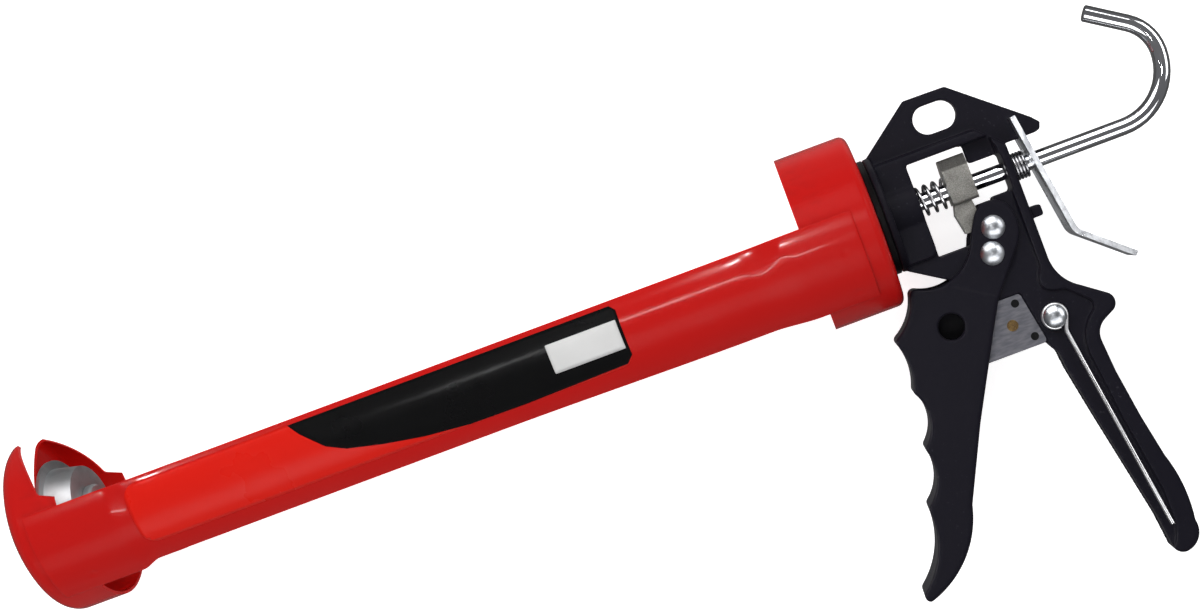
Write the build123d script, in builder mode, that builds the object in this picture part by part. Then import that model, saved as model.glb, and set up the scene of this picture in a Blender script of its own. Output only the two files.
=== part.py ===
from build123d import *
import os
from math import cos, sin, sqrt, radians

# Caulking gun with a rotating open barrel.  Millimetres.
# +X points to the rear (pull hook), +Z up, the barrel axis is the X axis.
# The origin is the centre of the rear cap's inner face, where the cartridge seats.

os.makedirs("parts", exist_ok=True)

# ------------------------------------------------------------------ fits
running = 0.075  # radial clearance of a shaft or rod in its hole
press_fit = 0.03  # radial gap of a pressed or welded part in its seat
face_gap = 0.15  # between flat faces that turn against each other
side_gap = 0.5  # between the frame's panel and the trigger's walls

# ------------------------------------------------------------------ barrel
barrel_length = 331.7  # rear cap's inner face to the nose of the front cap
cap_diameter = 66.3
cap_sheet = 1.0
nose_bulge = 9.5
front_cap_depth = 27.0
rear_cap_depth = 26.5
cap_corner = 3.0
nose_corner = 5.0
nozzle_slot = 21.0
wing_depth = 21.2  # nose to where the front cap is cut low for loading
wing_root_z = 12.0  # foot of the wings left on both sides of the nozzle slot
low_wall_z = 9.0
rail_sheet = 1.1
rail_top = 6.3  # height of both long edges above the axis
rail_end_wrap = 50.0  # degrees below the horizontal, on the caps
rail_step = 0.95  # how far the rail steps in between the caps
rail_mid_low = 24.3  # depth of the lower edge below the axis, between the caps
rail_front_inset = 14.7
front_joggle = (17.0, 24.0)  # from the front cap's rim
rear_joggle = (4.0, 20.0)  # from the rear cap's rim
rail_rear_inset = 7.2
weld_dimple = 2.0
weld_depth = 0.35

# ------------------------------------------------------------------ swivel
swivel_radius = 22.0
swivel_thickness = 2.9
washer_thickness = 1.2
bushing_radius = 9.5
bushing_flange_radius = 14.0
bushing_flange = 2.0
bushing_thread_radius = 8.0
bushing_thread_length = 9.0

# ------------------------------------------------------------------ rod and plunger
rod_diameter = 6.35
plunger_radius = 22.4
crown_radius = 17.0
plunger_depth = 10.2
plunger_sheet = 1.2
plunger_inset = 15.5  # nose of the front cap to the plunger's rim
rod_stub_radius = 2.5
nut_flats = 10.0
nut_height = 5.0
collar_radius = 9.0
collar_thickness = 3.0
hook_start = 98.9
hook_radius = 22.0
hook_tip_radius = 16.0
hook_tip_turn = 57.0
hook_tip_length = 16.8

# ------------------------------------------------------------------ frame casting
panel_half = 6.3
rim_half = 8.2
fin_half = 3.0
flange_thickness = 2.6
boss_radius = 10.8
window_front = 18.1
window_top = 14.6
window_bottom = -21.4
window_step_x = 40.2
window_step_z = 7.0
rear_wall_front = 52.0
rear_wall_back = 55.3
rim_top = 18.2
hang_slot_x = 34.6
hang_slot_z = 27.6
hang_slot_length = 16.4
hang_slot_height = 10.9
pivot_x = 36.5
pivot_z = -26.5
pivot_ring_radius = 8.4
pivot_ring_rise = 0.25
side_step_x = 50.8  # rear end of the thin corner behind the drive block
window_rear_low = -7.2
stop_lug_x = 59.8
stop_lug_top = -15.7
stop_lug_height = 4.3
stop_lug_half = 4.0
casting_round = 1.4  # softened outer edge of both sides
outline_round = 1.5
panel_round = 3.0

# ------------------------------------------------------------------ trigger
trigger_wall = 2.8
arm_recess = 0.6
finger_wall = 3.4
grip_gap = 11.25  # rear cap's edge down to the uppermost finger horn
sweep_radius = 22.6  # clear circle round the pivot, inside the trigger
pivot_pin_radius = 3.0
drive_pin_radius = 2.6
rivet_head_radius = 4.4
rivet_head_height = 2.0
drive_pin_dx = 3.6
drive_pin_dz = 8.9
cutter_hole_radius = 4.9
cutter_hole_dx = -23.2
cutter_hole_dz = -19.9
trigger_round = 1.2
corner_round = 1.8

# ------------------------------------------------------------------ drive block, springs, lever
block_length = 9.9
block_half_width = 7.0
block_top = 11.8
block_bottom = -5.6
block_tail_low = -16.8
block_tail_half = 4.0
block_gap = 11.6  # window's front wall to the block, where the drive spring sits
pin_play = 0.35
spring_wire = 1.3
spring_radius = 5.2
lever_sheet = 2.0
lever_half_width = 9.5
lever_top = (60.6, 17.7)
lever_bend = (67.9, -29.3)
lever_end = (86.0, -44.8)
lever_hole_play = 0.775
lever_fork_play = 0.4
beak_low = 9.5

# ------------------------------------------------------------------ blade and seal punch
blade_sheet = 1.5
blade_gap = 0.3
punch_wire = 1.7
punch_loop_radius = 4.2
punch_seat_radius = 4.6
punch_x = 49.8
punch_z = -55.8

# ------------------------------------------------------------------ derived places
cap_radius = cap_diameter / 2
rod_radius = rod_diameter / 2
bore_radius = rod_radius + running
lever_hole_radius = rod_radius + lever_hole_play
nose_x = -barrel_length
front_rim_x = nose_x + front_cap_depth
ring_x = cap_sheet + face_gap
frame_x = ring_x + swivel_thickness
block_x = window_front + block_gap
trigger_inner = panel_half + side_gap
trigger_half = trigger_inner + trigger_wall
arm_half = trigger_half - arm_recess
drive_pin_x = pivot_x + drive_pin_dx
drive_pin_z = pivot_z + drive_pin_dz
grip_z = -(cap_radius + grip_gap)
blade_outer = trigger_inner - blade_gap
punch_seat = rim_half + 0.1
punch_plane = punch_seat + 0.15 + punch_wire / 2
punch_hub = punch_loop_radius - punch_wire / 2 - running


def dome_rise(ball, radius):
    return ball - sqrt(ball**2 - radius**2)


def round_block(x0, x1, radius):
    """A disc or boss on the barrel axis, from x0 to x1."""
    with BuildPart(mode=Mode.PRIVATE) as block:
        with BuildSketch(Plane.YZ.offset(x0)):
            Circle(radius)
        extrude(amount=x1 - x0)
    return block.part


def plate(points, half, rounding=0.0):
    """A flat plate in the XZ plane, half its thickness to each side."""
    with BuildPart(mode=Mode.PRIVATE) as sheet:
        with BuildSketch(Plane.XZ) as outline:
            with BuildLine():
                Polyline(*points, close=True)
            make_face()
            if rounding:
                fillet(outline.vertices(), rounding)
        extrude(amount=half, both=True)
    return sheet.part


def cross_bar(x, z, radius, half):
    """A cylinder across the gun, centred on the XZ plane."""
    with BuildPart(mode=Mode.PRIVATE) as bar:
        with BuildSketch(Plane.XZ):
            with Locations((x, z)):
                Circle(radius)
        extrude(amount=half, both=True)
    return bar.part


def domed_profile(shank, head, height, low, high, heads):
    """Half section of a rivet along its axis, with a dome head at the low end or at both ends."""
    ball = (head**2 + height**2) / (2 * height)
    crown = height - dome_rise(ball, head / 2)
    with BuildSketch(mode=Mode.PRIVATE) as half_section:
        with BuildLine():
            ThreePointArc((0, low - height), (head / 2, low - crown), (head, low))
            Polyline((head, low), (shank, low), (shank, high))
            if heads == 2:
                Line((shank, high), (head, high))
                ThreePointArc((head, high), (head / 2, high + crown), (0, high + height))
                Line((0, high + height), (0, low - height))
            else:
                Polyline((shank, high), (0, high), (0, low - height))
        make_face()
    return half_section.sketch


def rivet(x, z, shank, head, height, low, high, heads=2):
    """A dome-headed rivet across the gun, its shank from y = low to y = high."""
    section = domed_profile(shank, head, height, low, high, heads).moved(Location((x, 0, z)))
    with BuildPart(mode=Mode.PRIVATE) as pin:
        revolve(section, axis=Axis((x, 0, z), (0, 1, 0)))
    return pin.part


def coil(x0, x1, radius, wire, turns):
    """A coil spring along the barrel axis, its wire inside x0 to x1."""
    height = x1 - x0 - wire
    start = x0 + wire / 2
    with BuildPart(mode=Mode.PRIVATE) as spring:
        with BuildLine():
            turn = Helix(height / turns, height, radius, center=(start, 0, 0), direction=(1, 0, 0))
        with BuildSketch(Plane(origin=turn @ 0, z_dir=turn % 0)):
            Circle(wire / 2)
        sweep(is_frenet=True)
    return spring.part


# ================================================================== barrel
def cup_solid(radius, ball, corner, tip, rim):
    """Solid of revolution: a domed nose, a rounded corner and a straight wall."""
    edge = tip + dome_rise(ball, radius)
    half_way = radius / 2
    with BuildPart(mode=Mode.PRIVATE) as cup:
        with BuildSketch(Plane.XZ) as section:
            with BuildLine():
                ThreePointArc((tip, 0), (tip + dome_rise(ball, half_way), half_way), (edge, radius))
                Polyline((edge, radius), (rim, radius), (rim, 0), (tip, 0))
            make_face()
            shoulder = section.vertices().sort_by_distance((edge, radius))[0]
            fillet(shoulder, corner)
        revolve(axis=Axis.X)
    return cup.part


nose_ball = (cap_radius**2 + nose_bulge**2) / (2 * nose_bulge)

with BuildPart() as front_cap:
    add(cup_solid(cap_radius, nose_ball, nose_corner, nose_x, front_rim_x))
    inside = cup_solid(
        cap_radius - cap_sheet, nose_ball - cap_sheet, nose_corner - cap_sheet, nose_x + cap_sheet, front_rim_x
    )
    add(inside, mode=Mode.SUBTRACT)
    # the nozzle drops into this slot from above
    with BuildSketch(Plane.YZ.offset(nose_x)):
        Circle(nozzle_slot / 2)
        with Locations((0, cap_radius / 2 + 1)):
            Rectangle(nozzle_slot, cap_radius + 2)
    extrude(amount=wing_depth + 1, mode=Mode.SUBTRACT)
    # the wall is cut low over the upper half, so that a cartridge can be laid in
    low_x = nose_x + wing_depth
    wing_tip = (nose_x + nose_bulge - 0.5, cap_radius + 2)
    wing_back = (nose_x + wing_depth - 3.7, wing_root_z + 10.5)
    with BuildSketch(Plane.XZ) as mouth:
        with BuildLine():
            ThreePointArc(wing_tip, wing_back, (low_x, wing_root_z))
            Polyline(
                (low_x, wing_root_z),
                (front_rim_x + 1, low_wall_z),
                (front_rim_x + 1, cap_radius + 2),
                wing_tip,
            )
        make_face()
        fillet(mouth.vertices().sort_by_distance((low_x, wing_root_z))[0], 2)
    extrude(amount=cap_radius + 2, both=True, mode=Mode.SUBTRACT)
front_cap.part.label = "front_cap"
export_step(front_cap.part, "parts/front_cap.step")

with BuildPart() as rear_cap:
    with BuildSketch(Plane.XZ) as outer_section:
        with BuildLine():
            Polyline(
                (-rear_cap_depth, 0), (cap_sheet, 0), (cap_sheet, cap_radius), (-rear_cap_depth, cap_radius), close=True
            )
        make_face()
        fillet(outer_section.vertices().sort_by_distance((cap_sheet, cap_radius))[0], cap_corner)
    revolve(axis=Axis.X)
    with BuildSketch(Plane.XZ) as inner_section:
        inner_radius = cap_radius - cap_sheet
        with BuildLine():
            past_rim = -rear_cap_depth - 1
            Polyline((past_rim, 0), (0, 0), (0, inner_radius), (past_rim, inner_radius), close=True)
        make_face()
        fillet(inner_section.vertices().sort_by_distance((0, inner_radius))[0], cap_corner - cap_sheet)
    revolve(axis=Axis.X, mode=Mode.SUBTRACT)
    add(round_block(-1, cap_sheet + 1, bushing_radius + running), mode=Mode.SUBTRACT)
rear_cap.part.label = "rear_cap"
export_step(rear_cap.part, "parts/rear_cap.step")

rail_front = nose_x + rail_front_inset
rail_rear = -rail_rear_inset
rail_seat = cap_radius + press_fit  # inner radius where the rail is welded to the caps
rail_waist = rail_seat - rail_step
front_step = (front_rim_x + front_joggle[0], front_rim_x + front_joggle[1])
rear_step = (-rear_cap_depth - rear_joggle[1], -rear_cap_depth - rear_joggle[0])
weld_places = [
    (rail_front + 8, -6),
    (rail_front + 14, -38),
    (rail_rear - 7, -12),
    (rail_rear - 7, -40),
]

with BuildPart() as left_rail:
    with BuildSketch(Plane.XY):
        with BuildLine():
            # the section lies in the XY plane on the near side and is swept round the axis
            Polyline(
                (rail_front, -rail_seat),
                (front_step[0], -rail_seat),
                (front_step[1], -rail_waist),
                (rear_step[0], -rail_waist),
                (rear_step[1], -rail_seat),
                (rail_rear, -rail_seat),
                (rail_rear, -rail_seat - rail_sheet),
                (rear_step[1], -rail_seat - rail_sheet),
                (rear_step[0], -rail_waist - rail_sheet),
                (front_step[1], -rail_waist - rail_sheet),
                (front_step[0], -rail_seat - rail_sheet),
                (rail_front, -rail_seat - rail_sheet),
                close=True,
            )
        make_face()
    revolve(axis=Axis.X, revolution_arc=rail_end_wrap)
    revolve(left_rail.faces().sort_by(Axis.Z)[-1], axis=Axis.X, revolution_arc=-30)
    # long upper edge
    above = [(rail_front - 1, rail_top), (rail_rear + 1, rail_top), (rail_rear + 1, 40), (rail_front - 1, 40)]
    add(plate(above, 40), mode=Mode.SUBTRACT)
    # the lower edge runs higher between the caps than on them
    below = [
        (front_step[0], -45),
        (front_step[1], -rail_mid_low),
        (rear_step[0], -rail_mid_low),
        (rear_step[1], -45),
    ]
    add(plate(below, 40), mode=Mode.SUBTRACT)
    for weld_x, weld_angle in weld_places:
        reach = rail_seat + rail_sheet + weld_dimple - weld_depth
        with Locations((weld_x, -reach * cos(radians(weld_angle)), reach * sin(radians(weld_angle)))):
            Sphere(weld_dimple, mode=Mode.SUBTRACT)
left_rail.part.label = "left_rail"
export_step(left_rail.part, "parts/left_rail.step")

with BuildPart() as right_rail:
    add(left_rail.part.mirror(Plane.XZ))
right_rail.part.label = "right_rail"
export_step(right_rail.part, "parts/right_rail.step")

# ================================================================== swivel
with BuildPart() as swivel_ring:
    with BuildSketch(Plane.YZ.offset(ring_x)):
        Circle(swivel_radius)
        Circle(bushing_radius, mode=Mode.SUBTRACT)
    extrude(amount=swivel_thickness)
    chamfer(swivel_ring.edges().filter_by(GeomType.CIRCLE).sort_by(SortBy.RADIUS)[-2:], 0.6)
swivel_ring.part.label = "swivel_ring"
export_step(swivel_ring.part, "parts/swivel_ring.step")

washer_x = -face_gap - washer_thickness
with BuildPart() as thrust_washer:
    with BuildSketch(Plane.YZ.offset(washer_x)):
        Circle(bushing_flange_radius + 2)
        Circle(bushing_radius, mode=Mode.SUBTRACT)
    extrude(amount=washer_thickness)
thrust_washer.part.label = "thrust_washer"
export_step(thrust_washer.part, "parts/thrust_washer.step")

flange_x = washer_x - bushing_flange
with BuildPart() as swivel_bushing:
    add(round_block(flange_x, washer_x, bushing_flange_radius))
    add(round_block(washer_x, frame_x, bushing_radius))
    add(round_block(frame_x, frame_x + bushing_thread_length, bushing_thread_radius))
    add(round_block(flange_x - 1, frame_x + bushing_thread_length + 1, bore_radius), mode=Mode.SUBTRACT)
    chamfer(swivel_bushing.faces().sort_by(Axis.X)[0].outer_wire().edges(), 0.5)
swivel_bushing.part.label = "swivel_bushing"
export_step(swivel_bushing.part, "parts/swivel_bushing.step")

# ================================================================== frame
# outer edge of the casting from the rear wall down to the foot of the handle
handle_front = [(44.1, -64.0), (47.0, -69.0), (47.8, -76.2), (51.8, -97.3), (60.0, -137.9)]
blade_top = -43.8
blade_low = -63.9

with BuildPart() as frame_casting:
    with BuildSketch(Plane.XZ) as body_outline:
        with BuildLine():
            Polyline(
                (frame_x + 1, rim_top), (rear_wall_back - 9, rim_top), (rear_wall_back, rim_top - 9), (rear_wall_back, -34.5)
            )
            ThreePointArc((rear_wall_back, -34.5), (58.7, -44.8), (62.7, -48.4))
            Line((62.7, -48.4), (71.7, -55.0))
            ThreePointArc((71.7, -55.0), (72.9, -58.4), (71.3, -61.2))
            Line((71.3, -61.2), (67.4, -63.2))
            ThreePointArc((67.4, -63.2), (64.1, -66.2), (63.2, -70.7))
            Polyline((63.2, -70.7), (64.1, -82.5), (66.9, -101.1), (70.1, -117.4))
            ThreePointArc((70.1, -117.4), (72.9, -132.0), (72.4, -143.6))
            ThreePointArc((72.4, -143.6), (70.4, -151.2), (66.1, -153.4))
            ThreePointArc((66.1, -153.4), (63.2, -152.8), (61.6, -151.0))
            Line((61.6, -151.0), handle_front[4])
            Polyline(*reversed(handle_front))
            Polyline(
                handle_front[0],
                (30.0, blade_low),
                (25.5, -42.5),
                (19.0, -30.7),
                (frame_x + 1.3, -swivel_radius),
                (frame_x + 1, rim_top),
            )
        make_face()
        fillet(body_outline.vertices(), outline_round)
    extrude(amount=rim_half, both=True)
    rim_edges = [edge for face in frame_casting.faces().filter_by(Plane.XZ) for edge in face.edges()]
    fillet(rim_edges, casting_round)
    # both sides drop to the panel inside the rim
    with BuildSketch(Plane.XZ) as panel_outline:
        with BuildLine():
            Polyline((-5, -20.3), (window_front, -20.3), (window_front, window_top), (45.5, window_top))
            ThreePointArc((45.5, window_top), (49.7, window_top - 1.8), (51.4, 8.6))
            Line((51.4, 8.6), (51.4, -38.0))
            ThreePointArc((51.4, -38.0), (49.3, -41.9), (49.9, -45.4))
            Polyline((49.9, -45.4), (53.1, -46.9), (57.3, -47.8), (64.3, -54.6))
            ThreePointArc((64.3, -54.6), (64.9, -56.6), (64.3, -58.6))
            ThreePointArc((64.3, -58.6), (59.0, -64.6), (57.2, -72.6))
            Polyline((57.2, -72.6), (60.0, -97.1), (65.1, -129.5), (65.0, -139.0))
            ThreePointArc((65.0, -139.0), (63.8, -146.5), (60.2, -152.4))
            Polyline((60.2, -152.4), (-5, -152.4), (-5, -20.3))
        make_face()
        fillet(panel_outline.vertices(), panel_round)
    panel_depth = rim_half + 1 - panel_half
    for side in (1, -1):
        panel_start = panel_outline.sketch.moved(Location((0, -side * (rim_half + 1), 0)))
        extrude(panel_start, amount=-side * panel_depth, mode=Mode.SUBTRACT)
    # fin with the hanging slot and the beak that holds the release lever
    add(
        plate(
            [
                (frame_x + 0.6, -5.0),
                (frame_x + 0.6, 21.2),
                (25.5, 37.1),
                (41.8, 36.9),
                (67.6, 15.6),
                (70.4, 12.6),
                (69.4, 10.1),
                (67.6, beak_low),
                (40.0, beak_low),
                (20.0, -5.0),
            ],
            fin_half,
        )
    )
    # round seat for the swivel and the boss round the rod
    add(round_block(frame_x, frame_x + flange_thickness, swivel_radius))
    add(round_block(frame_x, window_front, boss_radius))
    # thin corner behind the drive block
    for side in (1, -1):
        corner = Plane.XZ.offset(side * rim_half)
        with BuildSketch(corner):
            with Locations(((window_step_x + side_step_x) / 2, (window_step_z + window_top) / 2)):
                Rectangle(side_step_x - window_step_x, window_top - window_step_z)
        extrude(amount=-side * (rim_half - fin_half), mode=Mode.SUBTRACT)
    # window for the drive block; its lower rear part clears the drive pin
    pin_clear_x = drive_pin_x + drive_pin_radius + 1.3
    with BuildSketch(Plane.XZ) as window:
        with BuildLine():
            Polyline(
                (window_front, window_top),
                (window_step_x, window_top),
                (window_step_x, window_step_z),
                (rear_wall_front, window_step_z),
                (rear_wall_front, window_rear_low),
                (pin_clear_x, window_rear_low),
                (pin_clear_x, window_bottom),
                (window_front, window_bottom),
                close=True,
            )
        make_face()
        fillet(window.vertices(), 1.2)
    extrude(amount=rim_half + 1, both=True, mode=Mode.SUBTRACT)
    # raised ring round the trigger pivot
    add(cross_bar(pivot_x, pivot_z, pivot_ring_radius, panel_half + pivot_ring_rise))
    opened = [(window_front, window_bottom), (pin_clear_x, window_bottom), (pin_clear_x, -12), (window_front, -12)]
    add(plate(opened, rim_half), mode=Mode.SUBTRACT)
    # raised round seat for the seal punch
    add(cross_bar(punch_x, punch_z, punch_seat_radius, punch_seat))
    with BuildSketch(Plane.XZ.offset(-punch_seat - 0.1)):
        with Locations((punch_x, punch_z)):
            Circle(punch_seat_radius + 0.1)
    extrude(amount=punch_seat + 0.1 - panel_half, mode=Mode.SUBTRACT)
    # stop lug for the release lever
    stop_low = stop_lug_top - stop_lug_height
    lug_root = rear_wall_back - 1
    lug = [(lug_root, stop_lug_top), (stop_lug_x, stop_lug_top), (stop_lug_x, stop_low), (lug_root, stop_low)]
    add(plate(lug, stop_lug_half, 0.8))
    # blade seat, blade dowels, pivot and punch holes
    with BuildSketch(Plane.XZ.offset(blade_outer - blade_sheet)):
        with BuildLine():
            seat_top = blade_top + 0.1
            seat_low = blade_low - 1
            Polyline((20, seat_top), (41.05, seat_top), (44.95, seat_low), (20, seat_low), close=True)
        make_face()
    extrude(amount=4, mode=Mode.SUBTRACT)
    with BuildSketch(Plane.XZ.offset(2)):
        with Locations((punch_x, punch_z)):
            Circle(punch_hub)
    extrude(amount=20, mode=Mode.SUBTRACT)
    add(cross_bar(pivot_x, pivot_z, pivot_pin_radius + press_fit, 20), mode=Mode.SUBTRACT)
    # rod bore and bushing thread
    add(round_block(frame_x - 1, rear_wall_back + 2, bore_radius), mode=Mode.SUBTRACT)
    thread_bore = round_block(frame_x - 1, frame_x + bushing_thread_length + 0.3, bushing_thread_radius + press_fit)
    add(thread_bore, mode=Mode.SUBTRACT)
    # hanging slot
    with BuildSketch(Plane.XZ):
        with Locations((hang_slot_x, hang_slot_z)):
            SlotOverall(hang_slot_length, hang_slot_height)
    extrude(amount=rim_half, both=True, mode=Mode.SUBTRACT)
frame_casting.part.label = "frame_casting"
export_step(frame_casting.part, "parts/frame_casting.step")

# ================================================================== trigger
# grooves for the fingers, each from one horn to the next through its deepest point
finger_horns = [(-8.3, 0.0), (-8.2, -19.8), (-11.4, -40.4), (-17.6, -61.1)]
finger_grooves = [(-6.0, -10.0), (-5.6, -28.2), (-10.6, -50.4)]


def below_grip(point):
    return (point[0], grip_z + point[1])


horns = [below_grip(p) for p in finger_horns]
grooves = [below_grip(p) for p in finger_grooves]
toe_front = below_grip((-29.8, -90.0))
toe_back = below_grip((-28.6, -93.7))
heel = below_grip((-10.2, -81.7))
grip_nose = below_grip((6.0, 15.2))
crease_start = below_grip((17.6, 11.9))
crease_end = (33.3, -42.3)


with BuildSketch(Plane.XZ) as trigger_side:
    with BuildLine():
        Polyline((30.8, -18.9), (35.2, -11.2), (38.2, -8.2), (44.2, -8.2), (47.6, -10.8))
        ThreePointArc((47.6, -10.8), (49.3, -17.7), (45.1, -27.9))
        Polyline((45.1, -27.9), crease_end, (28.2, -51.4), below_grip((10.9, -38.8)), below_grip((-2.1, -65.5)))
        ThreePointArc(below_grip((-2.1, -65.5)), heel, toe_back)
        ThreePointArc(toe_back, below_grip((-29.9, -92.2)), toe_front)
        ThreePointArc(toe_front, below_grip((-20.6, -78.5)), horns[3])
        ThreePointArc(horns[3], grooves[2], horns[2])
        ThreePointArc(horns[2], grooves[1], horns[1])
        ThreePointArc(horns[1], grooves[0], horns[0])
        ThreePointArc(horns[0], below_grip((-1.6, 5.0)), below_grip((2.9, 13.4)))
        ThreePointArc(below_grip((2.9, 13.4)), below_grip((4.2, 15.2)), grip_nose)
        ThreePointArc(grip_nose, below_grip((19.8, 14.2)), (30.8, -18.9))
    make_face()
    fillet(trigger_side.vertices(), corner_round)

with BuildPart() as trigger:
    extrude(trigger_side.sketch, amount=trigger_half, both=True)
    side_edges = [edge for face in trigger.faces().filter_by(Plane.XZ) for edge in face.edges()]
    fillet(side_edges, trigger_round)
    # channel, open to the rear, behind the finger wall
    behind_wall = trigger_side.sketch.moved(Location((finger_wall, 0, 0)))
    extrude(behind_wall, amount=trigger_inner, both=True, mode=Mode.SUBTRACT)
    with BuildSketch(Plane.XZ):
        with Locations((pivot_x, pivot_z)):
            Circle(sweep_radius)
    extrude(amount=trigger_inner, both=True, mode=Mode.SUBTRACT)
    # the arm above the crease is a little thinner than the grip
    arm_side = [crease_start, crease_end, (60, -42.3), (60, 0), (crease_start[0], 0)]
    for side in (1, -1):
        with BuildSketch(Plane.XZ.offset(side * arm_half)):
            with BuildLine():
                Polyline(*arm_side, close=True)
            make_face()
        extrude(amount=side * (arm_recess + 1), mode=Mode.SUBTRACT)
    add(cross_bar(pivot_x, pivot_z, pivot_pin_radius + running, 20), mode=Mode.SUBTRACT)
    add(cross_bar(drive_pin_x, drive_pin_z, drive_pin_radius, 20), mode=Mode.SUBTRACT)
    # spout cutter hole, through the near wall only
    with BuildSketch(Plane.XZ):
        with Locations((pivot_x + cutter_hole_dx, pivot_z + cutter_hole_dz)):
            Circle(cutter_hole_radius)
    extrude(amount=20, mode=Mode.SUBTRACT)
trigger.part.label = "trigger"
export_step(trigger.part, "parts/trigger.step")

with BuildPart() as drive_pin:
    add(rivet(drive_pin_x, drive_pin_z, drive_pin_radius, rivet_head_radius, rivet_head_height, -arm_half, arm_half))
drive_pin.part.label = "drive_pin"
export_step(drive_pin.part, "parts/drive_pin.step")

with BuildPart() as pivot_pin:
    pin_end = arm_half + face_gap
    add(rivet(pivot_x, pivot_z, pivot_pin_radius, rivet_head_radius, rivet_head_height, -pin_end, pin_end))
pivot_pin.part.label = "pivot_pin"
export_step(pivot_pin.part, "parts/pivot_pin.step")

# ================================================================== drive block
tail_back = drive_pin_x - drive_pin_radius - pin_play
with BuildPart() as drive_block:
    with BuildSketch(Plane.YZ.offset(block_x)) as block_face:
        with BuildLine():
            Polyline(
                (-block_half_width, block_bottom),
                (-block_half_width, 7.6),
                (-4.6, block_top),
                (4.6, block_top),
                (block_half_width, 7.6),
                (block_half_width, block_bottom),
                close=True,
            )
        make_face()
        fillet(block_face.vertices(), 1.2)
    extrude(amount=block_length)
    add(
        plate(
            [
                (block_x + 0.6, block_bottom + 1),
                (block_x - 0.6, block_bottom - 3.6),
                (block_x + 0.9, block_tail_low),
                (tail_back - 1.2, block_tail_low),
                (tail_back, block_tail_low + 1.2),
                (tail_back, block_bottom - 2),
                (tail_back - 0.6, block_bottom + 1),
            ],
            block_tail_half,
        )
    )
    add(round_block(block_x - 1, block_x + block_length + 1, bore_radius), mode=Mode.SUBTRACT)
drive_block.part.label = "drive_block"
export_step(drive_block.part, "parts/drive_block.step")

# ================================================================== release lever
lever_lean = (Vector(*lever_bend) - Vector(*lever_top)).normalized()
lever_slope = lever_lean.X / -lever_lean.Y
lever_x = lever_top[0] + lever_top[1] * lever_slope
lever_pivot_z = beak_low - 0.6
lever_pivot_x = lever_top[0] + (lever_top[1] - lever_pivot_z) * lever_slope

with BuildPart() as release_lever:
    with BuildSketch(Plane.XZ) as lever_section:
        with BuildLine() as lever_line:
            FilletPolyline(lever_top, lever_bend, lever_end, radius=5)
        trace(lever_line.line, line_width=lever_sheet)
    extrude(amount=lever_half_width, both=True)
    # fork over the beak
    with BuildSketch(Plane.XY.offset(lever_pivot_z)) as fork:
        with Locations((lever_top[0], 0)):
            Rectangle(20, 2 * (fin_half + lever_fork_play))
    extrude(amount=20, mode=Mode.SUBTRACT)
    # hole that grips the rod
    hole_plane = Plane(origin=(lever_x, 0, 0), z_dir=(-lever_lean.Y, 0, lever_lean.X))
    with BuildSketch(hole_plane):
        Circle(lever_hole_radius)
    extrude(amount=4, both=True, mode=Mode.SUBTRACT)
release_lever.part.label = "release_lever"
export_step(release_lever.part, "parts/release_lever.step")

# ================================================================== springs
with BuildPart() as drive_spring:
    add(coil(window_front, block_x, spring_radius, spring_wire, 3))
drive_spring.part.label = "drive_spring"
export_step(drive_spring.part, "parts/drive_spring.step")

with BuildPart() as release_spring:
    add(coil(rear_wall_back, lever_x - lever_sheet, spring_radius - 0.5, spring_wire - 0.2, 4))
release_spring.part.label = "release_spring"
export_step(release_spring.part, "parts/release_spring.step")

# ================================================================== rod and plunger
plunger_x = nose_x + plunger_inset
crown_x = plunger_x + plunger_depth
with BuildPart() as plunger:
    with BuildSketch(Plane.XZ) as dish:
        with BuildLine():
            Polyline(
                (plunger_x, crown_radius + 1.6),
                (plunger_x, plunger_radius),
                (plunger_x + plunger_sheet, plunger_radius),
                (plunger_x + plunger_sheet, crown_radius + 2.2),
                (crown_x, crown_radius),
                (crown_x, rod_stub_radius + running),
                (crown_x - plunger_sheet, rod_stub_radius + running),
                (crown_x - plunger_sheet, crown_radius - 0.8),
                close=True,
            )
        make_face()
    revolve(axis=Axis.X)
plunger.part.label = "plunger"
export_step(plunger.part, "parts/plunger.step")

nut_x = crown_x - plunger_sheet - face_gap - nut_height
collar_x = crown_x + face_gap
with BuildPart() as pull_rod:
    with BuildLine(Plane.XZ) as rod_line:
        straight = Line((collar_x, 0), (hook_start, 0))
        bend = JernArc(straight @ 1, (1, 0), hook_radius, 90)
        tip_bend = JernArc(bend @ 1, bend % 1, hook_tip_radius, hook_tip_turn)
        Line(tip_bend @ 1, tip_bend @ 1 + (tip_bend % 1) * hook_tip_length)
    with BuildSketch(Plane.YZ.offset(collar_x)):
        Circle(rod_radius)
    sweep(path=rod_line.line)
    chamfer(pull_rod.faces().filter_by(GeomType.PLANE).sort_by(Axis.X)[-1].edges(), 0.4)
    add(round_block(nut_x - 1, collar_x + 1, rod_stub_radius))
pull_rod.part.label = "pull_rod"
export_step(pull_rod.part, "parts/pull_rod.step")

with BuildPart() as plunger_nut:
    with BuildSketch(Plane.YZ.offset(nut_x)):
        RegularPolygon(nut_flats / 2, 6, major_radius=False)
        Circle(rod_stub_radius, mode=Mode.SUBTRACT)
    extrude(amount=nut_height)
plunger_nut.part.label = "plunger_nut"
export_step(plunger_nut.part, "parts/plunger_nut.step")

with BuildPart() as plunger_collar:
    with BuildSketch(Plane.YZ.offset(collar_x)):
        Circle(collar_radius)
        Circle(rod_radius, mode=Mode.SUBTRACT)
    extrude(amount=collar_thickness)
    chamfer(plunger_collar.faces().sort_by(Axis.X)[-1].outer_wire().edges(), 0.8)
plunger_collar.part.label = "plunger_collar"
export_step(plunger_collar.part, "parts/plunger_collar.step")

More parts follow.
